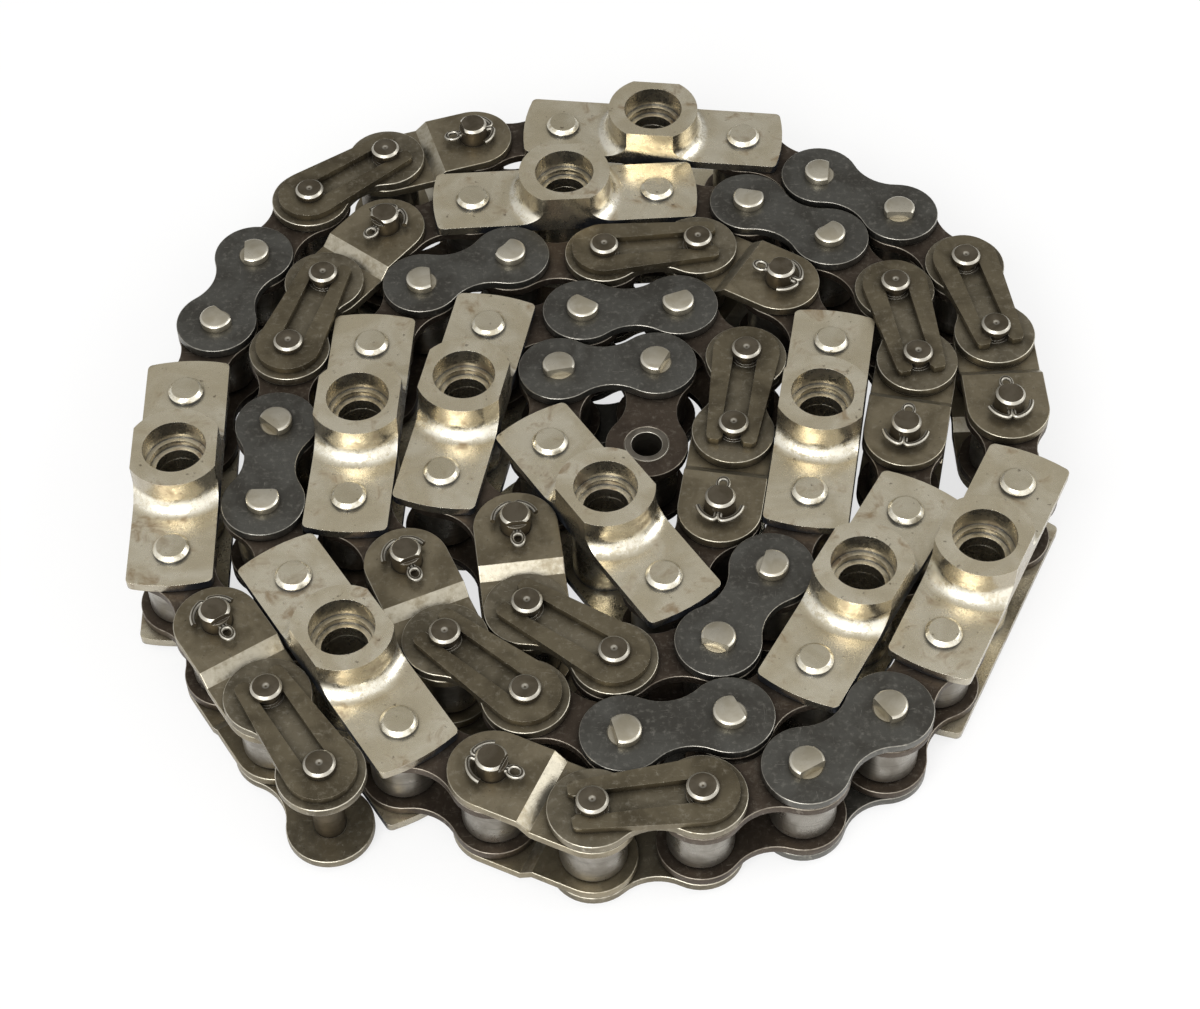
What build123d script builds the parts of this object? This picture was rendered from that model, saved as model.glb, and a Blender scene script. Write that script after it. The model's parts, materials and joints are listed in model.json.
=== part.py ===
from build123d import *
import math
import os

import numpy as np

# A conveyor roller chain of eighty pitches, coiled flat on its side with every
# pin upright.  Ten like units follow each other, and each unit is seven links:
# connecting, cranked, inner, attachment, inner, outer, inner.  Only the
# attachment link is two pitches long; it carries the round boss.
# Millimetres.  +Z is up, the lower rivet heads stand on Z = 0, and the origin
# is the middle of the coil's footprint.

# Chain
PITCH = 19.05
UNITS = 10
INNER_WIDTH = 11.68
ROLLER_DIA = 12.07
BUSH_DIA = 8.5
PIN_DIA = 5.72

# Plates
PLATE_THICKNESS = 1.85
PLATE_HEIGHT = 15.9
WAIST_HEIGHT = 10.0

# Rivet heads: plain ones, and the domed ones of the attachment link
HEAD_DIA = 6.3
HEAD_RISE = 1.66
HEAD_CHAMFER = 0.3
DOME_DIA = 6.8
DOME_RISE = 1.4
DOME_CHAMFER = 0.7

# Connecting link: grooved pins and the spring clip on them
CLIP_PIN_RISE = 3.0
CLIP_THICKNESS = 1.5
GROOVE_DIA = 4.6
CLIP_HEAD_RADIUS = 6.5
CLIP_TAIL_RADIUS = 4.9
CLIP_NECK = 3.5
CLIP_MOUTH_RADIUS = 2.6
CLIP_OVERHANG = 3.9
CLIP_TIP_RADIUS = 1.0
TIP_CHAMFER = 0.45
DIMPLE_DIA = 1.6
DIMPLE_DEPTH = 0.3

# Cranked link: loose pin with a cross hole, a flat beside it and a split cotter
COTTER_PIN_RISE = 4.1
COTTER_HEIGHT = 1.7
COTTER_DIA = 1.5
COTTER_EYE_RADIUS = 1.3
COTTER_LEG_DIA = 0.9
COTTER_LEG_RADIUS = 4.1
COTTER_LEG_ANGLE = 95
PIN_FLAT = 2.2
PIN_FLAT_LENGTH = 1.2

# Attachment link: square-ended plates, boss with a stepped bore, spacer tube
ATTACHMENT_END = 8.2
END_BULGE = 1.0
END_CORNER = 1.2
BOSS_DIA = 18.6
BOSS_HEIGHT = 6.8
BOSS_FLARE = 3.2
COUNTERBORE_DIA = 12.0
COUNTERBORE_DEPTH = 4.6
STEP_DIA = 10.4
STEP_DEPTH = 6.2
THROUGH_DIA = 8.6
SPACER_DIA = 13.0

# Clearances
PIN_RUN = 0.07
ROLLER_RUN = 0.07
ROLLER_SIDE = 0.15
PLATE_GAP = 0.15
GROOVE_SIDE = 0.1
CLIP_RUN = 0.05
COTTER_RUN = 0.05
JOGGLE_CLEAR = 0.4
TURN_GAP = 0.15
TAIL_GAP = 0.4
SHOULDER = 0.75

UNIT = ("connecting", "cranked", "inner", "attachment", "inner", "outer", "inner")
KINDS = UNIT * UNITS
WAISTED = ("connecting", "inner", "outer")

# The free tail: the first links, each on its own joint, from the open end in
TAIL = (
    "end_link",
    "end_crank",
    "inner_link_1",
    "boss_link",
    "inner_link_2",
    "outer_link",
    "inner_link_3",
    "joining_link",
    "joining_crank",
)

# Roughly where the coiled chain lies: pin, then X and Y in pitches.  Pins
# between two of these lie on the straight line from one to the next.
ROUTE = (
    (0, -2.5, -4.0),
    (3, -4.0, -1.25),
    (4, -4.0, 0.75),
    (7, -3.0, 3.5),
    (10, -0.25, 4.5),
    (11, 1.75, 4.0),
    (14, 4.0, 2.0),
    (17, 3.75, -0.75),
    (18, 3.0, -2.5),
    (21, 0.5, -4.25),
    (24, -2.0, -3.25),
    (25, -2.75, -1.5),
    (28, -3.0, 1.5),
    (31, -1.25, 3.5),
    (32, 0.75, 3.5),
    (35, 3.25, 1.75),
    (38, 3.0, -1.25),
    (39, 1.75, -2.75),
    (42, -1.0, -3.0),
    (45, -2.5, -0.5),
    (46, -2.25, 1.5),
    (49, 0.25, 2.5),
    (52, 2.5, 1.0),
    (53, 2.0, -1.0),
    (56, -0.25, -2.75),
    (59, -1.5, -0.25),
    (60, -1.0, 1.75),
    (63, 1.75, 1.0),
    (66, 0.5, -1.75),
    (67, -0.5, 0.0),
    (68, -0.25, 1.0),
    (69, 0.75, 0.75),
    (70, 0.5, -0.25),
)

# Heights from the chain's middle plane
INNER_FACE = INNER_WIDTH / 2
INNER_BACK = INNER_FACE + PLATE_THICKNESS
OUTER_FACE = INNER_BACK + PLATE_GAP
OUTER_BACK = OUTER_FACE + PLATE_THICKNESS
PIN_END = OUTER_BACK + HEAD_RISE

# Radii that several pieces share
END_RADIUS = PLATE_HEIGHT / 2
PIN_RADIUS = PIN_DIA / 2
BUSH_RADIUS = BUSH_DIA / 2
GROOVE_RADIUS = GROOVE_DIA / 2


def link_length(kind):
    """Pin to pin length of one link."""
    return 2 * PITCH if kind == "attachment" else PITCH


# ---------------------------------------------------------------- the coil


def pins_along(start, headings, lengths):
    """Pin places, as complex numbers, of links laid end to end."""
    steps = lengths * np.exp(1j * headings)
    return start + np.concatenate(([0], np.cumsum(steps)))


def outline_features(lengths):
    """Points that must keep clear: every pin's round end, and the bowed ends
    of the attachment plates.  Each is a link, a place along and across that
    link as a share of its length, a radius and, for a pin, its number."""
    last = len(lengths) - 1
    features = [(k, 0, END_RADIUS, k) for k in range(last + 1)]
    features.append((last, 1, END_RADIUS, last + 1))
    for k, kind in enumerate(KINDS):
        if kind != "attachment":
            continue
        for side in (-1, -0.5, 0, 0.5, 1):
            across = side * (END_RADIUS - END_CORNER)
            bow = END_BULGE * (across / END_RADIUS) ** 2
            along = ATTACHMENT_END - bow - END_CORNER
            for past in (along, along / 2) if abs(side) == 1 else (along,):
                for end in (-past, lengths[k] + past):
                    share = complex(end, across) / lengths[k]
                    features.append((k, share, END_CORNER, None))
    return features


def needed_gaps(features, count):
    """Least distance from each feature to each link's axis and to each pin.
    Zero where the two are neighbours or lie at different heights."""
    to_axis = np.zeros((len(features), count))
    to_pin = np.zeros((len(features), count + 1))
    for row, (link, _, radius, pin) in enumerate(features):
        place = link + 0.5 if pin is None else pin
        free = place < len(TAIL)
        for k in range(count + 1):
            loose = free or k < len(TAIL)
            gap = TAIL_GAP if loose else TURN_GAP
            if abs(k - place) >= 2:
                to_pin[row, k] = radius + END_RADIUS + gap
            if k == count or abs(k + 0.5 - place) < 2:
                continue
            if pin is None and KINDS[k] == "inner":
                continue
            waisted = KINDS[k] in WAISTED and not loose
            side = WAIST_HEIGHT / 2 + SHOULDER if waisted else END_RADIUS
            to_axis[row, k] = radius + side + gap
    return to_axis, to_pin


def crowding(headings, start, lengths, features, needs):
    """How far each pair is too near, and how that changes with each heading."""
    count = len(lengths)
    pins = pins_along(start, headings, lengths)
    turn = np.tril(np.ones((count + 1, count)), -1) * (1j * np.diff(pins))
    link = np.array([f[0] for f in features])
    share = np.array([f[1] for f in features])
    place = pins[link] + share * (pins[link + 1] - pins[link])
    moves = turn[link] + share[:, None] * (turn[link + 1] - turn[link])

    shortage, slope = [], []
    axis = np.diff(pins)
    offset = place[:, None] - pins[:-1]
    along = np.clip((offset * axis.conj()).real / lengths**2, 0, 1)
    offset = offset - along * axis
    row, col = np.nonzero(needs[0] > abs(offset))
    unit = offset[row, col] / abs(offset[row, col])
    part = along[row, col][:, None]
    other = turn[col] + part * (turn[col + 1] - turn[col])
    shortage.append(needs[0][row, col] - abs(offset[row, col]))
    slope.append(-(unit.conj()[:, None] * (moves[row] - other)).real)

    offset = place[:, None] - pins
    row, col = np.nonzero(needs[1] > abs(offset))
    unit = offset[row, col] / abs(offset[row, col])
    shortage.append(needs[1][row, col] - abs(offset[row, col]))
    slope.append(-(unit.conj()[:, None] * (moves[row] - turn[col])).real)
    return np.concatenate(shortage), np.vstack(slope), pins, turn


def settled_coil(rounds=400, hold=0.1, touch=0.02):
    """Lays the links along ROUTE, then turns them a little at a time until
    no turn of the coil is nearer to the next than its clearance."""
    lengths = np.array([link_length(kind) for kind in KINDS])
    count = len(lengths)
    pin, x, y = np.array(ROUTE).T
    rough = PITCH * (
        np.interp(range(count + 1), pin, x) + 1j * np.interp(range(count + 1), pin, y)
    )
    headings = np.unwrap(np.angle(np.diff(rough)))
    features = outline_features(lengths)
    needs = needed_gaps(features, count)
    for turn_round in range(rounds):
        short, slope, pins, turn = crowding(
            headings, rough[0], lengths, features, needs
        )
        worst = short.max(initial=0)
        pull = hold * max(0.0, 1 - 2 * turn_round / rounds)
        if pull == 0 and worst < touch:
            break
        error = pull * (pins - rough)
        short = np.concatenate((short, error.real, error.imag))
        slope = np.vstack((slope, pull * turn.real, pull * turn.imag))
        stiffness = 100 if worst > 1 else 30
        matrix = slope.T @ slope + stiffness * np.eye(count)
        step = -np.linalg.solve(matrix, slope.T @ short)
        headings = headings + step * min(1, 0.05 / abs(step).max())
    print("turns settled after", turn_round, "rounds, nearest within", round(worst, 4))
    return pins, headings


# ---------------------------------------------------------------- shapes


def turned(*profile):
    """Solid of revolution about Z from (radius, height) points."""
    face = make_face(Polyline(*[(r, 0, z) for r, z in profile], close=True))
    return revolve(face, Axis.Z)


def tube(outer, inner, low, high, chamfer_size=0.0):
    """Straight tube with its outer rims chamfered."""
    if chamfer_size == 0:
        return turned((inner, low), (outer, low), (outer, high), (inner, high))
    c = chamfer_size
    return turned(
        (inner, low),
        (outer - c, low),
        (outer, low + c),
        (outer, high - c),
        (outer - c, high),
        (inner, high),
    )


def prism(face, low, high):
    """The flat outline extruded from one height to another."""
    return Pos(0, 0, low) * extrude(face, high - low)


def hole(x, radius, low=-PIN_END, high=PIN_END):
    """A round cutter through the plates at a pin or the boss."""
    return Pos(x, 0, (low + high) / 2) * Cylinder(radius, high - low)


def waisted_outline():
    """Figure-eight plate: two round ends joined by hollow arcs."""
    half = PITCH / 2
    waist = WAIST_HEIGHT / 2
    arc = (half**2 + waist**2 - END_RADIUS**2) / (2 * (END_RADIUS - waist))
    angle = math.atan2(waist + arc, half)
    x, y = END_RADIUS * math.cos(angle), END_RADIUS * math.sin(angle)
    return make_face(
        [
            ThreePointArc((x, y), (half, waist), (PITCH - x, y)),
            ThreePointArc((PITCH - x, y), (PITCH + END_RADIUS, 0), (PITCH - x, -y)),
            ThreePointArc((PITCH - x, -y), (half, -waist), (x, -y)),
            ThreePointArc((x, -y), (-END_RADIUS, 0), (x, y)),
        ]
    )


def straight_outline():
    """Straight-sided plate with round ends."""
    return Pos(PITCH / 2, 0) * SlotCenterToCenter(PITCH, PLATE_HEIGHT)


def attachment_outline():
    """Straight-sided plate, ends gently bowed and small-cornered."""
    length = link_length("attachment")
    middle = ATTACHMENT_END
    corner = ATTACHMENT_END - END_BULGE
    y = END_RADIUS
    face = make_face(
        [
            Line((-corner, y), (length + corner, y)),
            ThreePointArc(
                (length + corner, y), (length + middle, 0), (length + corner, -y)
            ),
            Line((length + corner, -y), (-corner, -y)),
            ThreePointArc((-corner, -y), (-middle, 0), (-corner, y)),
        ]
    )
    return fillet(face.vertices(), END_CORNER)


def flipped(solid):
    """The same piece on the lower side of the chain."""
    return mirror(solid, Plane.XY)


def plate_with_holes(outline, low, high, radius, length=PITCH):
    plate = prism(outline, low, high)
    return plate - hole(0, radius) - hole(length, radius)


# ---------------------------------------------------------------- pieces


def rivet_pin(head_dia, rise, bevel):
    """Pin riveted over both outer plates."""
    shank, head, back = PIN_RADIUS, head_dia / 2, OUTER_BACK
    end = back + rise
    return turned(
        (0, -end),
        (head - bevel, -end),
        (head, -end + bevel),
        (head, -back),
        (shank, -back),
        (shank, back),
        (head, back),
        (head, end - bevel),
        (head - bevel, end),
        (0, end),
    )


def lower_head():
    """Points of a pin's riveted lower end, from the axis outward."""
    head, end = HEAD_DIA / 2, PIN_END
    return (
        (0, -end),
        (head - HEAD_CHAMFER, -end),
        (head, -end + HEAD_CHAMFER),
        (head, -OUTER_BACK),
        (PIN_RADIUS, -OUTER_BACK),
    )


def connecting_pin():
    """Pin riveted below, grooved above for the spring clip, tip dimpled."""
    groove_top = OUTER_BACK + CLIP_THICKNESS + GROOVE_SIDE
    tip = OUTER_BACK + CLIP_PIN_RISE
    return turned(
        *lower_head(),
        (PIN_RADIUS, OUTER_BACK),
        (GROOVE_RADIUS, OUTER_BACK),
        (GROOVE_RADIUS, groove_top),
        (PIN_RADIUS, groove_top),
        (PIN_RADIUS, tip - TIP_CHAMFER),
        (PIN_RADIUS - TIP_CHAMFER, tip),
        (DIMPLE_DIA / 2, tip),
        (0, tip - DIMPLE_DEPTH),
    )


def crank_pin():
    """Loose pin: cross hole for the cotter and a flat on the eye's side."""
    tip = OUTER_BACK + COTTER_PIN_RISE
    pin = turned(
        *lower_head(),
        (PIN_RADIUS, tip - TIP_CHAMFER),
        (PIN_RADIUS - TIP_CHAMFER, tip),
        (0, tip),
    )
    bore = Cylinder(COTTER_DIA / 2 + COTTER_RUN, 3 * PIN_DIA, rotation=(0, 90, 0))
    pin -= Pos(0, 0, OUTER_BACK + COTTER_HEIGHT) * bore
    flat = Box(PIN_RADIUS, PIN_DIA, 2 * PIN_FLAT_LENGTH)
    return pin - Pos(-PIN_FLAT - PIN_RADIUS / 2, 0, tip) * flat


def cotter():
    """Split cotter: eye towards the link, legs opened round the pin."""
    leg = COTTER_LEG_DIA / 2
    eye = Torus(COTTER_EYE_RADIUS, leg)
    stem_end = -PIN_RADIUS - 0.2
    eye = Pos(stem_end - COTTER_EYE_RADIUS, 0, 0) * eye
    stem_length = COTTER_LEG_RADIUS - stem_end
    stem = Cylinder(COTTER_DIA / 2, stem_length, rotation=(0, 90, 0))
    stem = Pos(stem_end + stem_length / 2, 0, 0) * stem
    section = Plane.XZ * Pos(COTTER_LEG_RADIUS, 0) * Circle(leg)
    legs = revolve(section, Axis.Z, 2 * COTTER_LEG_ANGLE)
    legs = Rot(0, 0, -COTTER_LEG_ANGLE) * legs
    return Pos(0, 0, OUTER_BACK + COTTER_HEIGHT) * (eye + stem + legs)


def clip_outline():
    """Spring clip seen from above: round closed end, two open legs."""
    slot = GROOVE_RADIUS + CLIP_RUN
    end = PITCH + CLIP_OVERHANG
    tail = Pos(PITCH + CLIP_OVERHANG / 2, 0) * Circle(CLIP_TAIL_RADIUS)
    body = make_hull((Circle(CLIP_HEAD_RADIUS) + tail).edges())
    body -= Pos(end + PITCH / 2, 0) * Rectangle(PITCH, PITCH)
    body = fillet(body.vertices().group_by(Axis.X)[-1], CLIP_TIP_RADIUS)
    channel = Pos(PITCH / 2, 0) * SlotCenterToCenter(PITCH, 2 * slot)
    neck = Pos(PITCH + end / 2, 0) * Rectangle(end, CLIP_NECK)
    mouth = Pos(end + CLIP_TIP_RADIUS, 0) * Circle(CLIP_MOUTH_RADIUS)
    return body - channel - neck - mouth


def cranked_plate():
    """Straight-sided plate stepped from the inner to the outer height."""
    low_end, high_end = -END_RADIUS, PITCH + END_RADIUS
    rise = END_RADIUS + JOGGLE_CLEAR
    top = PITCH - END_RADIUS - JOGGLE_CLEAR
    side = Polyline(
        (low_end, 0, INNER_FACE),
        (rise, 0, INNER_FACE),
        (top, 0, OUTER_FACE),
        (high_end, 0, OUTER_FACE),
        (high_end, 0, OUTER_BACK),
        (top, 0, OUTER_BACK),
        (rise, 0, INNER_BACK),
        (low_end, 0, INNER_BACK),
        close=True,
    )
    slab = extrude(make_face(side), PLATE_HEIGHT / 2, both=True)
    plate = slab & prism(straight_outline(), 0, PIN_END)
    return plate - hole(0, BUSH_RADIUS) - hole(PITCH, PIN_RADIUS)


def boss():
    """Round boss with a hollow flare into the plate, cut flush with its sides."""
    radius, flare = BOSS_DIA / 2, BOSS_FLARE
    foot, top = OUTER_BACK, OUTER_BACK + BOSS_HEIGHT
    bend = flare * (1 - math.sqrt(0.5))
    profile = [
        Line((0, 0, OUTER_FACE), (radius + flare, 0, OUTER_FACE)),
        Line((radius + flare, 0, OUTER_FACE), (radius + flare, 0, foot)),
        ThreePointArc(
            (radius + flare, 0, foot),
            (radius + bend, 0, foot + bend),
            (radius, 0, foot + flare),
        ),
        Line((radius, 0, foot + flare), (radius, 0, top)),
        Line((radius, 0, top), (0, 0, top)),
        Line((0, 0, top), (0, 0, OUTER_FACE)),
    ]
    body = revolve(make_face(profile), Axis.Z)
    return body & Box(PITCH * 2, PLATE_HEIGHT, 4 * PIN_END)


def stepped_bore():
    """Counterbore, cone and through hole, as one cutter."""
    top = OUTER_BACK + BOSS_HEIGHT
    return turned(
        (0, 0),
        (THROUGH_DIA / 2, 0),
        (THROUGH_DIA / 2, top - STEP_DEPTH),
        (STEP_DIA / 2, top - STEP_DEPTH),
        (STEP_DIA / 2, top - COUNTERBORE_DEPTH),
        (COUNTERBORE_DIA / 2, top - COUNTERBORE_DEPTH),
        (COUNTERBORE_DIA / 2, top + 1),
        (0, top + 1),
    )


def boss_plate():
    plate = plate_with_holes(
        attachment_outline(), OUTER_FACE, OUTER_BACK, PIN_RADIUS, 2 * PITCH
    )
    return plate + Pos(PITCH, 0, 0) * boss() - Pos(PITCH, 0, 0) * stepped_bore()


def back_plate():
    plate = plate_with_holes(
        attachment_outline(), -OUTER_BACK, -OUTER_FACE, PIN_RADIUS, 2 * PITCH
    )
    return plate - hole(PITCH, THROUGH_DIA / 2)


def bush():
    return tube(BUSH_RADIUS, PIN_RADIUS + PIN_RUN, -INNER_BACK, INNER_BACK)


def roller():
    half = INNER_FACE - ROLLER_SIDE
    return tube(ROLLER_DIA / 2, BUSH_RADIUS + ROLLER_RUN, -half, half, 0.5)


# ---------------------------------------------------------------- links


def at(x, solid):
    return Pos(x, 0, 0) * solid


def connecting_link():
    outline = waisted_outline()
    plate = plate_with_holes(outline, OUTER_FACE, OUTER_BACK, PIN_RADIUS)
    pin = connecting_pin()
    clip = prism(clip_outline(), OUTER_BACK, OUTER_BACK + CLIP_THICKNESS)
    return {
        "front_plate": [plate],
        "back_plate": [flipped(plate)],
        "pins": [pin, at(PITCH, pin)],
        "spring_clip": [clip],
    }


def cranked_link():
    plate = cranked_plate()
    return {
        "upper_plate": [plate],
        "lower_plate": [flipped(plate)],
        "bush": [bush()],
        "roller": [roller()],
        "pin": [at(PITCH, crank_pin())],
        "cotter": [at(PITCH, cotter())],
    }


def inner_link():
    plate = plate_with_holes(waisted_outline(), INNER_FACE, INNER_BACK, BUSH_RADIUS)
    return {
        "upper_plate": [plate],
        "lower_plate": [flipped(plate)],
        "bushes": [bush(), at(PITCH, bush())],
        "roller_a": [roller()],
        "roller_b": [at(PITCH, roller())],
    }


def attachment_link():
    pin = rivet_pin(DOME_DIA, DOME_RISE, DOME_CHAMFER)
    spacer = tube(SPACER_DIA / 2, THROUGH_DIA / 2, -OUTER_FACE, OUTER_FACE)
    return {
        "boss_plate": [boss_plate()],
        "back_plate": [back_plate()],
        "spacer": [at(PITCH, spacer)],
        "pins": [pin, at(2 * PITCH, pin)],
    }


def outer_link():
    plate = plate_with_holes(waisted_outline(), OUTER_FACE, OUTER_BACK, PIN_RADIUS)
    pin = rivet_pin(HEAD_DIA, HEAD_RISE, HEAD_CHAMFER)
    return {
        "upper_plate": [plate],
        "lower_plate": [flipped(plate)],
        "pins": [pin, at(PITCH, pin)],
    }


def coil_node(kind, piece):
    """Node for a piece of the coil, where like pieces share one."""
    if piece.startswith("bush"):
        return "coil_bushes"
    if piece.startswith("roller"):
        return "coil_rollers"
    if piece in ("upper_plate", "lower_plate"):
        return f"coil_{kind}_plates"
    plural = "" if piece.endswith("s") else "s"
    return f"coil_{kind}_{piece}{plural}"


LINKS = {
    "connecting": connecting_link(),
    "cranked": cranked_link(),
    "inner": inner_link(),
    "attachment": attachment_link(),
    "outer": outer_link(),
}


def placed_chain(pins, headings):
    """Every piece in its place, sorted into nodes."""
    nodes = {}
    for k, kind in enumerate(KINDS):
        where = Pos(pins[k].real, pins[k].imag, PIN_END)
        where = where * Rot(0, 0, math.degrees(headings[k]))
        for piece, solids in LINKS[kind].items():
            if k < len(TAIL):
                name = f"{TAIL[k]}_{piece}"
            else:
                name = coil_node(kind, piece)
            nodes.setdefault(name, []).extend(where * solid for solid in solids)
    return nodes


PINS, HEADINGS = settled_coil()
NODES = placed_chain(PINS, HEADINGS)
MIDDLE = Compound([s for solids in NODES.values() for s in solids]).bounding_box().center()
SHIFT = Pos(-MIDDLE.X, -MIDDLE.Y, 0)

os.makedirs("parts", exist_ok=True)
for node, solids in NODES.items():
    moved = [SHIFT * solid for solid in solids]
    export_step(moved[0] if len(moved) == 1 else Compound(moved), f"parts/{node}.step")
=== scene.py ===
# %% [markdown]
# # A coiled conveyor chain
#
# The object is a roller chain wound flat on a table, its pins upright.  All its
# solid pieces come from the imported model.  This lesson gives them rounded edges
# and oiled, worn steel finishes, remakes two kinds of small piece that the model
# leaves plain, and lights and frames the whole.

import json
import math

import bmesh
import bpy
from mathutils import Matrix, Vector


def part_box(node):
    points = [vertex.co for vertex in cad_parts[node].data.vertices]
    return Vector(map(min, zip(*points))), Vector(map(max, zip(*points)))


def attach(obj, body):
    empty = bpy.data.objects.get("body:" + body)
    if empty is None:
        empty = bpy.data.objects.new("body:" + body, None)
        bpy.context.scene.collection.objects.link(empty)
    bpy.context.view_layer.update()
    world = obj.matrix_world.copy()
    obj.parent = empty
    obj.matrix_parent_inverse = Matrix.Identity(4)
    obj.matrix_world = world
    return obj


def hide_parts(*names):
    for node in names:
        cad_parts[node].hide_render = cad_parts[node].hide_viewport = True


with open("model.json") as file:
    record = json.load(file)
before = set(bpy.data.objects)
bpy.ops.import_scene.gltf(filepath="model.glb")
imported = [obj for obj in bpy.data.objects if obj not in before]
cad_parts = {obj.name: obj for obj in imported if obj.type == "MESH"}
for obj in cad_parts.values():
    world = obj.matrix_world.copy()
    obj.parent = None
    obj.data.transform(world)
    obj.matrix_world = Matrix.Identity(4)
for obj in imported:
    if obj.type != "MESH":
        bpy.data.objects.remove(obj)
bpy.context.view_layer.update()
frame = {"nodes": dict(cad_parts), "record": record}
nodes = frame["nodes"]
MM = 0.001

# %% [markdown]
# ## Rounded edges
#
# Stamped plates and turned pins have no knife edges.  A rounded edge is what
# catches the light, so each node gets a Weld modifier, which joins the model's
# loose triangles, a small Bevel on every edge that turns by more than a set
# angle, and a Weighted Normal, which keeps the flats looking flat.  Modifiers
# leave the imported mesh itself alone, where edit mode would change it.

# %% Round the edges of the steel

TOUCHING = 0.001 * MM
SHARP = math.radians(34)


def rounded(node, width):
    """Joins a node's triangles and rounds its sharp edges."""
    for polygon in node.data.polygons:
        polygon.use_smooth = True
    weld = node.modifiers.new("weld", "WELD")
    weld.merge_threshold = TOUCHING
    bevel = node.modifiers.new("round", "BEVEL")
    bevel.width = width
    bevel.segments = 2
    bevel.limit_method = "ANGLE"
    bevel.angle_limit = SHARP
    bevel.use_clamp_overlap = True
    even = node.modifiers.new("even", "WEIGHTED_NORMAL")
    even.weight = 80
    even.keep_sharp = False


EDGE_WIDTHS = {
    "boss_plate": 0.3 * MM,
    "plate": 0.22 * MM,
    "clip": 0.18 * MM,
    "roller": 0.15 * MM,
    "spacer": 0.2 * MM,
    "pin": 0.15 * MM,
    "bush": 0.15 * MM,
}
SMALL_EDGE = 0.1 * MM


def edge_width(name):
    """The width of edge that suits a node, by what it is."""
    for word, width in EDGE_WIDTHS.items():
        if word in name:
            return width
    return SMALL_EDGE


steel_nodes = {name: node for name, node in nodes.items() if "cotter" not in name}
for name, node in steel_nodes.items():
    rounded(node, edge_width(name))
print("edges rounded on", len(steel_nodes), "nodes")

# %% [markdown]
# ## A small language for finishes
#
# A finish is a tree of shader nodes.  Written out node by node it is long and
# hard to read, so two small classes help: `Value` lets Python's own signs add
# Math nodes, and `Finish.node` makes any other node from its settings and
# sockets.

# %% Values that do their own maths


class Value:
    """The output of a shader node, on which + - and * add Math nodes."""

    def __init__(self, finish, socket):
        self.finish = finish
        self.socket = socket

    def maths(self, operation, first, second):
        return self.finish.node("Math", {"operation": operation}, {0: first, 1: second})

    def __add__(self, other):
        return self.maths("ADD", self, other)

    def __sub__(self, other):
        return self.maths("SUBTRACT", self, other)

    def __rsub__(self, other):
        return self.maths("SUBTRACT", other, self)

    def __mul__(self, other):
        return self.maths("MULTIPLY", self, other)

    def most(self, other):
        return self.maths("MAXIMUM", self, other)

    def size(self):
        return self.maths("ABSOLUTE", self, 0)

    __radd__ = __add__
    __rmul__ = __mul__


# %% A finish and its nodes


class Finish:
    """One material, with the textures that the steel finishes share."""

    def __init__(self, name):
        self.material = bpy.data.materials.new(name)
        self.material.use_nodes = True
        self.tree = self.material.node_tree
        self.shader = self.tree.nodes["Principled BSDF"]
        self.place = self.node("TexCoord", out="Object")
        normal = self.node("TexCoord", out="Normal")
        self.up = self.node("SeparateXYZ", sockets={0: normal}, out="Z")

    def node(self, kind, settings=None, sockets=None, out=0):
        """Adds a node: settings first, then socket values or links."""
        made = self.tree.nodes.new("ShaderNode" + kind)
        for key, value in (settings or {}).items():
            setattr(made, key, value)
        for key, value in (sockets or {}).items():
            self.plug(made.inputs[key], value)
        return Value(self, made.outputs[out])

    def plug(self, socket, value):
        if isinstance(value, Value):
            self.tree.links.new(value.socket, socket)
        else:
            socket.default_value = value

    def stretched(self, amounts):
        """The place on the piece, drawn out along X, Y and Z."""
        return self.node(
            "VectorMath", {"operation": "MULTIPLY"}, {0: self.place, 1: amounts}
        )

    def grain(self, size, detail=4.0, rough=0.55, place=None, twist=0.0):
        """Noise whose blotches are about size across, from 0 to 1."""
        sockets = {
            "Vector": place or self.place,
            "Scale": 1 / size,
            "Detail": detail,
            "Roughness": rough,
            "Distortion": twist,
        }
        return self.node("TexNoise", sockets=sockets)

    def step(self, value, low, high):
        """0 below low, 1 above high, and a soft step between."""
        sockets = {"Value": value, "From Min": low, "From Max": high}
        return self.node("MapRange", {"interpolation_type": "SMOOTHSTEP"}, sockets)

    def mix(self, amount, under, over):
        """A colour from under to over as amount goes from 0 to 1."""
        sockets = {0: amount, 6: under, 7: over}
        return self.node("Mix", {"data_type": "RGBA"}, sockets, out=2)

    def edges(self):
        """1 on rounded edges and slopes, 0 on flats and upright walls."""
        tilt = self.up.size()
        return self.step(tilt, 0.12, 0.45) * (1 - self.step(tilt, 0.9, 0.985))

    def bump(self, height, depth):
        """Feeds a height field, of that depth in metres, to the shader."""
        sockets = {"Height": height, "Strength": 1.0, "Distance": depth}
        self.plug(self.shader.inputs["Normal"], self.node("Bump", sockets=sockets))

    def set(self, **values):
        """Sets the shader's sockets: Base_Color is Base Color."""
        for key, value in values.items():
            self.plug(self.shader.inputs[key.replace("_", " ")], value)
        return self.material


def shade(red, green, blue):
    """A colour given as it looks on a screen, from 0 to 255."""
    return (*(((c / 255 + 0.055) / 1.055) ** 2.4 for c in (red, green, blue)), 1.0)


print("finish tools ready")

# %% [markdown]
# ## Oiled, worn steel
#
# Every plate starts as rolled strip.  Heat treatment darkens it, oil stains it
# in patches, and handling rubs the edges bright.  One recipe holds the layers:
# broad patches, fine speckle, a few scratches, painted shade in the corners and
# bright edges.  Each piece then has its own colours and amounts.  Painting these
# by hand would tie them to one mesh; noise on the piece's own coordinates covers
# all the copies and never repeats.

# %% The steel recipe


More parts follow.
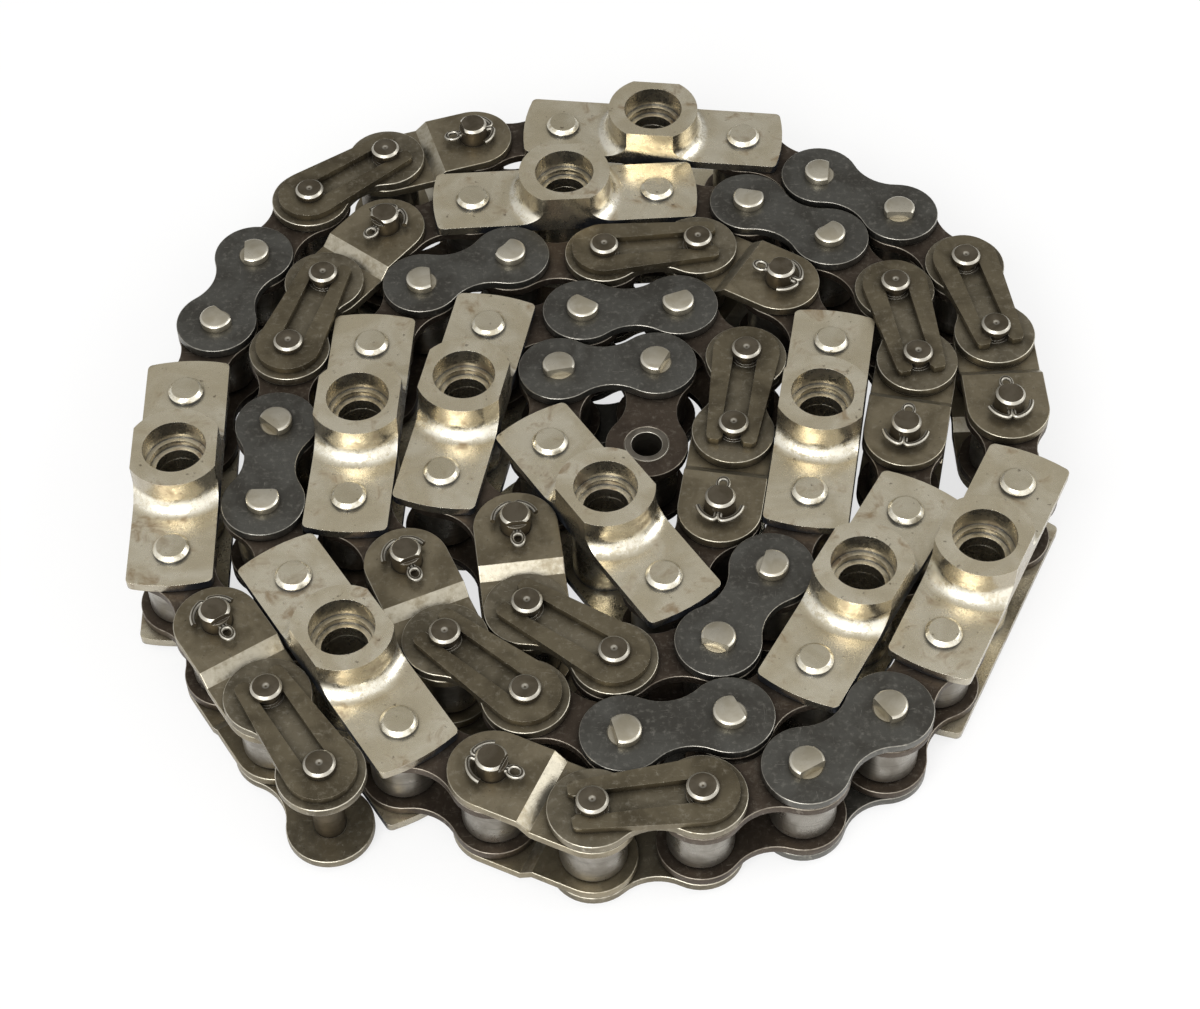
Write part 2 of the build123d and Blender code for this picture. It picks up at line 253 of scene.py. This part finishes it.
def worn_steel(name, body, patch, grime_and_shade, edge, rough, wear, speck):
    """Plate steel: body colour with patches, specks, painted shade in crevices and bright
    edges.
    """
    steel = Finish(name)
    broad = steel.grain(9 * MM, detail=5, twist=0.6)
    fine = steel.grain(1.1 * MM, detail=6, rough=0.7)
    specks = steel.step(steel.grain(0.55 * MM, detail=3, rough=0.6), 0.6, 0.74)
    lines = steel.grain(2.2 * MM, detail=4, place=steel.stretched((1.0, 6.0, 1.0)), twist=1.4)
    cross = steel.grain(2.2 * MM, detail=4, place=steel.stretched((6.0, 1.0, 1.0)), twist=1.4)
    scratches = steel.step(lines, 0.63, 0.72).most(steel.step(cross, 0.65, 0.74))
    # Painted shade: the occlusion node finds corners and crevices, and the colour darkens there
    # towards the grime colour.
    nook = steel.node("AmbientOcclusion", {"samples": 6}, {"Distance": 2.4 * MM}, out="AO")
    crevice_shade = 1 - steel.step(nook, 0.25, 0.95)
    colour = steel.mix(steel.step(broad, 0.35, 0.68), body, patch)
    colour = steel.mix(steel.step(fine, 0.5, 0.8) * 0.35, colour, edge)
    colour = steel.mix(specks * speck, colour, grime_and_shade)
    colour = steel.mix(crevice_shade * 0.85, colour, grime_and_shade)
    rubbed = steel.edges() * steel.step(broad + fine * 0.7, 0.55, 0.95) * wear
    bright = rubbed.most(scratches * 0.22)
    colour = steel.mix(bright, colour, edge)
    roughness = rough + (broad - 0.5) * 0.35 + (fine - 0.5) * 0.25 - bright * 0.12 + crevice_shade * 0.15
    steel.bump(fine * 0.6 + broad * 0.4 - scratches * 0.3 - specks * 0.4, 0.035 * MM)
    return steel.set(Base_Color=colour, Roughness=roughness, Metallic=0.9)


# %% Finishes for the plates

finishes = {
    "outer_plate": worn_steel(
        "blued outer plate",
        body=shade(100, 99, 94),
        patch=shade(78, 76, 71),
        grime_and_shade=shade(26, 24, 23),
        edge=shade(188, 184, 174),
        rough=0.36,
        wear=0.6,
        speck=0.2,
    ),
    "inner_plate": worn_steel(
        "oiled inner plate",
        body=shade(86, 76, 66),
        patch=shade(66, 57, 49),
        grime_and_shade=shade(20, 17, 14),
        edge=shade(176, 168, 154),
        rough=0.45,
        wear=0.6,
        speck=0.5,
    ),
    "crank_plate": worn_steel(
        "cranked plate",
        body=shade(142, 132, 110),
        patch=shade(108, 99, 80),
        grime_and_shade=shade(34, 29, 22),
        edge=shade(198, 192, 175),
        rough=0.38,
        wear=0.7,
        speck=0.45,
    ),
    "connecting_plate": worn_steel(
        "connecting plate",
        body=shade(128, 120, 102),
        patch=shade(92, 85, 70),
        grime_and_shade=shade(28, 24, 18),
        edge=shade(214, 208, 192),
        rough=0.42,
        wear=0.8,
        speck=0.5,
    ),
    "clip": worn_steel(
        "spring clip",
        body=shade(120, 111, 91),
        patch=shade(88, 80, 64),
        grime_and_shade=shade(26, 22, 16),
        edge=shade(205, 198, 180),
        rough=0.4,
        wear=0.8,
        speck=0.5,
    ),
}
print("plate finishes:", ", ".join(finishes))

# %% [markdown]
# ## The attachment plates
#
# These are bright nickel-coloured steel, not darkened.  Handling leaves them
# warm, with brown stains that gather in blotches and spots, over faint brushed
# lines.  The bore stays plain grey steel, so the colour cools on upright walls
# that other faces crowd; the wall's tilt and an occlusion node decide that.

# %% Nickel-coloured plate


def nickel_plate(name, body, pale, stain, stained):
    """Bright warm plate with brown blotches and spots."""
    plate = Finish(name)
    broad = plate.grain(13 * MM, detail=5, twist=0.8)
    cloud = plate.grain(4 * MM, detail=5, rough=0.62, twist=0.5)
    fine = plate.grain(0.8 * MM, detail=5, rough=0.7)
    spots = plate.step(plate.grain(1.5 * MM, detail=3), 0.66, 0.74)
    lines = plate.grain(1.6 * MM, detail=4, place=plate.stretched((1.0, 9.0, 1.0)), twist=0.5)
    cross = plate.grain(1.6 * MM, detail=4, place=plate.stretched((9.0, 1.0, 1.0)), twist=0.5)
    nook = plate.node("AmbientOcclusion", {"samples": 6}, {"Distance": 3 * MM}, out="AO")
    crevice_shade = 1 - plate.step(nook, 0.25, 0.9)
    blotch = plate.step(cloud + broad * 0.5, 0.78, 1.0)
    colour = plate.mix(plate.step(broad, 0.35, 0.65), body, pale)
    colour = plate.mix(plate.step(lines.most(cross), 0.55, 0.75) * 0.3, colour, pale)
    colour = plate.mix(blotch * stained, colour, stain)
    colour = plate.mix(spots * 0.6, colour, shade(70, 52, 34))
    # Painted shade: where the occlusion node finds corners, the colour darkens towards dark
    # brown.
    colour = plate.mix(crevice_shade * 0.75, colour, shade(50, 40, 28))
    wall = 1 - plate.step(plate.up.size(), 0.15, 0.55)
    colour = plate.mix(wall * 0.55, colour, shade(136, 130, 120))
    colour = plate.mix(wall * plate.step(crevice_shade, 0.0, 0.2), colour, shade(82, 86, 94))
    # Painted highlight: slopes, fillets and rounded edges go near-white where the noise is
    # high.
    bright = plate.edges() * plate.step(fine + cloud, 0.75, 1.1) * 0.85
    colour = plate.mix(bright, colour, shade(250, 246, 232))
    roughness = 0.27 + (cloud - 0.5) * 0.4 + (fine - 0.5) * 0.3 + blotch * 0.15 + crevice_shade * 0.2
    plate.bump(fine * 0.4 + lines * 0.3 + cross * 0.3 - spots * 0.5, 0.03 * MM)
    return plate.set(Base_Color=colour, Roughness=roughness, Metallic=0.95)


finishes["boss_plate"] = nickel_plate(
    "boss plate", shade(206, 195, 168), shade(230, 222, 200), shade(134, 104, 64), 0.7
)
finishes["boss_link"] = nickel_plate(
    "boss link", shade(196, 186, 160), shade(220, 212, 190), shade(130, 106, 72), 0.55
)
print("nickel finishes made")

# %% [markdown]
# ## Pins, rollers and bushes
#
# Rollers are turned and case-hardened: satin grey, with faint rings round them
# and painted shade near the ends, where the plates close over them.  Pin ends
# are ground and riveted over, so they are the brightest small spots on the chain.

# %% Round pieces


def turned_steel(name, body, patch, grime_and_shade, rough, rings, spotted):
    """Turned steel: rings at each height, with oily patches between."""
    steel = Finish(name)
    broad = steel.grain(5 * MM, detail=5, twist=0.4)
    fine = steel.grain(0.7 * MM, detail=5, rough=0.7)
    ring = steel.grain(0.5 * MM, detail=3, place=steel.stretched((0.03, 0.03, 1.0)))
    # Painted shade: the occlusion node finds the ends under the plates and other corners, and
    # the colour darkens there towards the grime colour.
    nook = steel.node("AmbientOcclusion", {"samples": 6}, {"Distance": 2 * MM}, out="AO")
    crevice_shade = 1 - steel.step(nook, 0.2, 0.9)
    colour = steel.mix(steel.step(broad, 0.35, 0.65), body, patch)
    colour = steel.mix(steel.step(ring, 0.5, 0.75) * rings, colour, grime_and_shade)
    colour = steel.mix(steel.step(fine, 0.62, 0.75) * spotted, colour, grime_and_shade)
    colour = steel.mix(crevice_shade * 0.8, colour, grime_and_shade)
    colour = steel.mix(steel.edges() * 0.6, colour, shade(226, 222, 210))
    roughness = rough + (broad - 0.5) * 0.3 + (fine - 0.5) * 0.25 + crevice_shade * 0.2
    steel.bump(fine * 0.5 + ring * 0.5, 0.02 * MM)
    return steel.set(Base_Color=colour, Roughness=roughness, Metallic=0.95)


finishes["roller"] = turned_steel(
    "roller", shade(150, 146, 138), shade(122, 117, 108), shade(48, 42, 36), 0.32, 0.3, 0.4
)
finishes["bush"] = turned_steel(
    "bush", shade(128, 122, 112), shade(100, 94, 84), shade(36, 31, 26), 0.4, 0.3, 0.4
)
finishes["pin"] = turned_steel(
    "rivet head", shade(206, 200, 184), shade(182, 174, 154), shade(92, 82, 64), 0.34, 0.1, 0.5
)
finishes["pin_dark"] = turned_steel(
    "connecting pin", shade(112, 104, 90), shade(88, 80, 66), shade(36, 30, 24), 0.42, 0.2, 0.5
)
finishes["cotter"] = turned_steel(
    "split cotter", shade(96, 90, 78), shade(76, 70, 60), shade(30, 25, 20), 0.45, 0.2, 0.5
)
print("round finishes made")

# %% [markdown]
# ## Dress the nodes
#
# Each node takes the finish of its slot in the record.  The pins of the
# connecting and cranked links are darker than the riveted ones, because they
# were never ground after hardening.

# %% Give every node its finish

slots = {entry["node"]: entry["material_slot"] for entry in frame["record"]["subparts"]}
DARK_PINS = (
    "connecting_pins",
    "cranked_pins",
    "end_link_pins",
    "joining_link_pins",
    "crank_pin",
)


def finish_for(name):
    if name.endswith(DARK_PINS):
        return finishes["pin_dark"]
    return finishes[slots[name]]


for name, node in nodes.items():
    node.data.materials.clear()
    node.data.materials.append(finish_for(name))
print("finishes given to", len(nodes), "nodes")

# %% [markdown]
# ## Find the pins
#
# The small pieces that follow stand on pins, so they need each pin's place.
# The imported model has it: a node's mesh holds one closed shell for each solid,
# and the middle of a shell's box is the pin's axis.  Reading the places from
# the model means that nothing has to be measured twice.

# %% Solids of a node


def solids(name):
    """The points of each separate solid of a node, from left to right."""
    shells = bmesh.new()
    shells.from_mesh(nodes[name].data)
    bmesh.ops.remove_doubles(shells, verts=shells.verts, dist=TOUCHING)
    shells.verts.ensure_lookup_table()
    seen_points = set()
    found = []
    for first in shells.verts:
        if first.index in seen_points:
            continue
        seen_points.add(first.index)
        waiting, points = [first], []
        while waiting:
            point = waiting.pop()
            points.append(point.co.copy())
            for edge in point.link_edges:
                other = edge.other_vert(point)
                if other.index not in seen_points:
                    seen_points.add(other.index)
                    waiting.append(other)
        found.append(points)
    shells.free()
    return sorted(found, key=lambda points: points[0].x)


def middle(points):
    """The middle of a solid's box."""
    low = Vector([min(p[axis] for p in points) for axis in range(3)])
    high = Vector([max(p[axis] for p in points) for axis in range(3)])
    return (low + high) / 2


# %% [markdown]
# ## Riveted heads
#
# A plain rivet is staked over by a punch, and the blow leaves one side of the
# head flat, like a letter D.  A head could be carved with a boolean, but it is
# simpler to make each head as a cylinder of its own, draw its rim in with two
# short extrusions, cut one side off the upper one and join both to the shank.

# %% Edit mode helpers


def pick(piece, wanted):
    """Selects the faces that wanted says yes to, and nothing else."""
    bpy.ops.object.mode_set(mode="EDIT")
    bpy.ops.mesh.select_mode(type="FACE")
    bpy.ops.mesh.select_all(action="DESELECT")
    faces = bmesh.from_edit_mesh(piece.data)
    for face in faces.faces:
        face.select_set(wanted(face))
    bmesh.update_edit_mesh(piece.data)


def grow(distance, narrow):
    """Extrudes the picked face along Z, then draws it in."""
    bpy.ops.mesh.extrude_region_move(TRANSFORM_OT_translate={"value": (0, 0, distance)})
    bpy.ops.transform.resize(value=(narrow, narrow, 1))


def settled(piece):
    """Puts the piece's place into its mesh and smooths its round sides."""
    bpy.ops.object.transform_apply(location=True, rotation=True, scale=True)
    bpy.ops.object.shade_smooth_by_angle(angle=math.radians(35))
    return piece


# %% One staked pin

PLATE_TOP = 9.69 * MM
SHANK = 2.86 * MM
HEAD = 3.12 * MM
HEAD_RISE = 1.66 * MM
HEAD_EDGE = 0.35 * MM
STAKED = 1.9 * MM
STAKED_LEAN = 0.12


def head(side):
    """One closed head, upper for 1 and lower for -1, with a rounded rim."""
    bpy.ops.object.select_all(action="DESELECT")
    bpy.ops.mesh.primitive_cylinder_add(
        vertices=32,
        radius=HEAD,
        depth=HEAD_RISE - HEAD_EDGE,
        location=(0, 0, side * (PLATE_TOP + (HEAD_RISE - HEAD_EDGE) / 2)),
    )
    bpy.ops.object.transform_apply(location=True, rotation=True, scale=True)
    cap = bpy.context.object
    pick(cap, lambda face: face.normal.z * side > 0.9)
    grow(side * HEAD_EDGE * 0.6, 1 - HEAD_EDGE * 0.5 / HEAD)
    grow(side * HEAD_EDGE * 0.4, 1 - HEAD_EDGE / HEAD)
    bpy.ops.object.mode_set(mode="OBJECT")
    return cap


def staked_pin():
    """A pin with two heads, the upper one flat on one side."""
    upper, lower = head(1), head(-1)
    bpy.context.view_layer.objects.active = upper
    bpy.ops.object.mode_set(mode="EDIT")
    bpy.ops.mesh.select_all(action="SELECT")
    bpy.ops.mesh.bisect(
        plane_co=(0, STAKED, PLATE_TOP),
        plane_no=(0, 1, STAKED_LEAN),
        use_fill=True,
        clear_outer=True,
    )
    bpy.ops.object.mode_set(mode="OBJECT")
    bpy.ops.object.select_all(action="DESELECT")
    bpy.ops.mesh.primitive_cylinder_add(vertices=32, radius=SHANK, depth=2 * PLATE_TOP)
    pin = bpy.context.object
    upper.select_set(True)
    lower.select_set(True)
    bpy.ops.object.join()
    return settled(pin)


pattern = staked_pin()
print("staked pin:", len(pattern.data.polygons), "faces")

# %% Copy it to every plain rivet

CHAIN_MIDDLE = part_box("coil_outer_pins")[1].z / 2
GOLDEN_TURN = 2.39996  # radians: no two pins near each other are turned alike


def copied(piece, name, place, body, node, finish):
    """Puts a copy, with its own mesh, at that place and lets it ride."""
    copy = bpy.data.objects.new(name, piece.data.copy())
    bpy.context.scene.collection.objects.link(copy)
    copy.data.transform(place)
    copy.data.materials.clear()
    copy.data.materials.append(finish)
    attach(copy, body)
    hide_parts(node)


count = 0
for node, body in (("coil_outer_pins", "coil"), ("outer_link_pins", "outer_link")):
    for points in solids(node):
        axis = middle(points)
        turn = Matrix.Rotation(GOLDEN_TURN * count, 4, "Z")
        place = Matrix.Translation((axis.x, axis.y, CHAIN_MIDDLE)) @ turn
        copied(pattern, f"staked_pin_{count:02d}", place, body, node, finishes["pin"])
        count += 1
bpy.data.objects.remove(pattern)
print(count, "staked pins")

# %% [markdown]
# ## Split cotters
#
# A split cotter is one wire of half-round section, folded double: the fold is
# the eye, and the two ends lie flat together through the pin and are bent apart
# round it.  Here the eye is a drawn-out ring, and each leg starts as a disc that
# is extruded through the pin and spun round two corners.  A curve with a bevel
# would do as well, but spinning keeps the section true in the tight bend.

# %% One split cotter

WIRE = 0.5 * MM
LEG_APART = 0.34 * MM
EYE_RADIUS = 1.2 * MM
EYE_WIRE = 0.42 * MM
BEND = 0.6 * MM
ROUND_PIN = 4.1 * MM
LEG_START = -3.2 * MM
TURN_OUT = math.radians(96)
LONG_REACH = math.radians(72)
SHORT_REACH = math.radians(58)


def cotter_leg(side):
    """One leg, from behind the pin, through it and round that side."""
    bpy.ops.object.select_all(action="DESELECT")
    bpy.ops.mesh.primitive_circle_add(
        vertices=12,
        radius=WIRE,
        fill_type="NGON",
        location=(LEG_START, side * LEG_APART, 0),
        rotation=(0, math.pi / 2, 0),
    )
    leg = bpy.context.object
    bpy.ops.object.transform_apply(location=True, rotation=True, scale=True)
    bpy.ops.object.mode_set(mode="EDIT")
    bpy.ops.mesh.select_all(action="SELECT")
    through = ROUND_PIN - BEND - LEG_START
    bpy.ops.mesh.extrude_region_move(TRANSFORM_OT_translate={"value": (through, 0, 0)})
    corner = (ROUND_PIN - BEND, side * (LEG_APART + BEND), 0)
    bpy.ops.mesh.spin(steps=5, angle=-side * TURN_OUT, center=corner, axis=(0, 0, 1))
    reach = LONG_REACH if side > 0 else SHORT_REACH
    bpy.ops.mesh.spin(steps=10, angle=-side * reach, center=(0, 0, 0), axis=(0, 0, 1))
    bpy.ops.mesh.select_all(action="SELECT")
    bpy.ops.mesh.normals_make_consistent(inside=False)
    bpy.ops.object.mode_set(mode="OBJECT")
    return leg


def split_cotter():
    """Eye and two legs, with the pin's axis at the origin."""
    legs = [cotter_leg(side) for side in (1, -1)]
    bpy.ops.object.select_all(action="DESELECT")
    bpy.ops.mesh.primitive_torus_add(
        major_radius=EYE_RADIUS,
        minor_radius=EYE_WIRE,
        major_segments=28,
        minor_segments=10,
        location=(LEG_START - EYE_RADIUS, 0, 0),
    )
    eye = bpy.context.object
    bpy.ops.object.mode_set(mode="EDIT")
    bpy.ops.transform.resize(value=(1.15, 0.9, 1))
    bpy.ops.object.mode_set(mode="OBJECT")
    for leg in legs:
        leg.select_set(True)
    bpy.context.view_layer.objects.active = eye
    bpy.ops.object.join()
    return settled(eye)


pattern = split_cotter()
low = [min(v.co[axis] for v in pattern.data.vertices) / MM for axis in range(3)]
high = [max(v.co[axis] for v in pattern.data.vertices) / MM for axis in range(3)]
print("split cotter from", [round(x, 2) for x in low], "to", [round(x, 2) for x in high])

# %% Put one in every loose pin

CRANKS = (
    ("coil_cranked_cotters", "coil_cranked_pins", "coil"),
    ("end_crank_cotter", "end_crank_pin", "end_crank"),
    ("joining_crank_cotter", "joining_crank_pin", "joining_crank"),
)
count = 0
for node, pins, body in CRANKS:
    axes = [middle(points) for points in solids(pins)]
    for points in solids(node):
        here = middle(points)
        axis = min(axes, key=lambda a: (a - here).xy.length)
        eye = max(points, key=lambda p: (p - axis).xy.length)
        away = (axis - eye).xy
        turn = Matrix.Rotation(math.atan2(away.y, away.x), 4, "Z")
        place = Matrix.Translation((axis.x, axis.y, here.z)) @ turn
        copied(pattern, f"split_cotter_{count:02d}", place, body, node, finishes["cotter"])
        count += 1
bpy.data.objects.remove(pattern)
print(count, "split cotters")

# %% [markdown]
# ## Floor, light and camera
#
# The chain lies on a plain white sheet.  The floor shows the shadow of the
# chain, but much of its brightness comes from its material, so no extra light
# has to fall on the steel.  Metal shows what is round it: the sky is brighter
# in front than behind, so flats that face the ceiling stay dark and slopes that
# face the front flash.

# %% Floor

floor_finish = Finish("floor")
tree = floor_finish.tree
ray = tree.nodes.new("ShaderNodeLightPath")
seen = Value(floor_finish, ray.outputs["Is Camera Ray"])
glow = floor_finish.node("Emission", sockets={"Color": (1, 1, 1, 1), "Strength": 1.0})
floor_finish.set(Base_Color=(0.9, 0.9, 0.9, 1), Roughness=0.9)
paper = Value(floor_finish, floor_finish.shader.outputs[0])
mixed = floor_finish.node("MixShader", sockets={0: seen * 0.72, 1: paper, 2: glow})
tree.links.new(mixed.socket, tree.nodes["Material Output"].inputs["Surface"])

bpy.ops.object.select_all(action="DESELECT")
bpy.ops.mesh.primitive_plane_add(size=6, location=(0, 0, 0))
floor = bpy.context.object
floor.name = "floor"
floor.data.materials.append(floor_finish.material)
print("floor laid")

# %% Sky

world = bpy.context.scene.world or bpy.data.worlds.new("studio")
bpy.context.scene.world = world
world.use_nodes = True
sky = world.node_tree
sky.nodes.clear()


def sky_node(kind, **sockets):
    made = sky.nodes.new("ShaderNode" + kind)
    for key, value in sockets.items():
        made.inputs[key.replace("_", " ")].default_value = value
    return made


direction = sky_node("TexCoord")
split = sky_node("SeparateXYZ")
front = sky_node("MapRange", From_Min=-1.0, From_Max=1.0, To_Min=1.25, To_Max=0.28)
around = sky_node("Background", Color=(1.0, 0.99, 0.97, 1))
white = sky_node("Background", Color=(1, 1, 1, 1), Strength=1.0)
path = sky_node("LightPath")
either = sky_node("MixShader")
output = sky_node("OutputWorld")
sky.links.new(direction.outputs["Generated"], split.inputs[0])
sky.links.new(split.outputs["Y"], front.inputs["Value"])
sky.links.new(front.outputs[0], around.inputs["Strength"])
sky.links.new(path.outputs["Is Camera Ray"], either.inputs[0])
sky.links.new(around.outputs[0], either.inputs[1])
sky.links.new(white.outputs[0], either.inputs[2])
sky.links.new(either.outputs[0], output.inputs["Surface"])
print("sky made")

# %% Lamps


def softbox(name, place, width, power):
    """A square lamp at that place, turned to the middle of the chain."""
    light = bpy.data.lights.new(name, "AREA")
    light.size = width
    light.energy = power
    lamp = bpy.data.objects.new(name, light)
    aim = Vector(place).to_track_quat("Z", "Y")
    lamp.matrix_world = Matrix.Translation(place) @ aim.to_matrix().to_4x4()
    bpy.context.scene.collection.objects.link(lamp)


softbox("front softbox", (-0.25, -0.62, 0.62), 0.45, 5.0)
softbox("side softbox", (0.75, 0.1, 0.5), 0.5, 2.0)
print("two softboxes hung")

# %% Camera

ELEVATION = math.radians(52.09)
DISTANCE = 0.49998
ROLL = math.radians(-1.0046)
LENS = 76.0
AIM = Vector((-0.00026, -0.00185, 0.0))

camera_data = bpy.data.cameras.new("camera")
camera_data.lens = LENS
camera_data.sensor_width = 36
camera = bpy.data.objects.new("camera", camera_data)
away = Vector((0, -math.cos(ELEVATION), math.sin(ELEVATION)))
turn = away.to_track_quat("Z", "Y").to_matrix().to_4x4() @ Matrix.Rotation(ROLL, 4, "Z")
camera.matrix_world = Matrix.Translation(AIM + DISTANCE * away) @ turn
bpy.context.scene.collection.objects.link(camera)
bpy.context.scene.camera = camera
bpy.context.scene.view_settings.view_transform = "Standard"
print("camera set at", [round(x, 3) for x in camera.location])
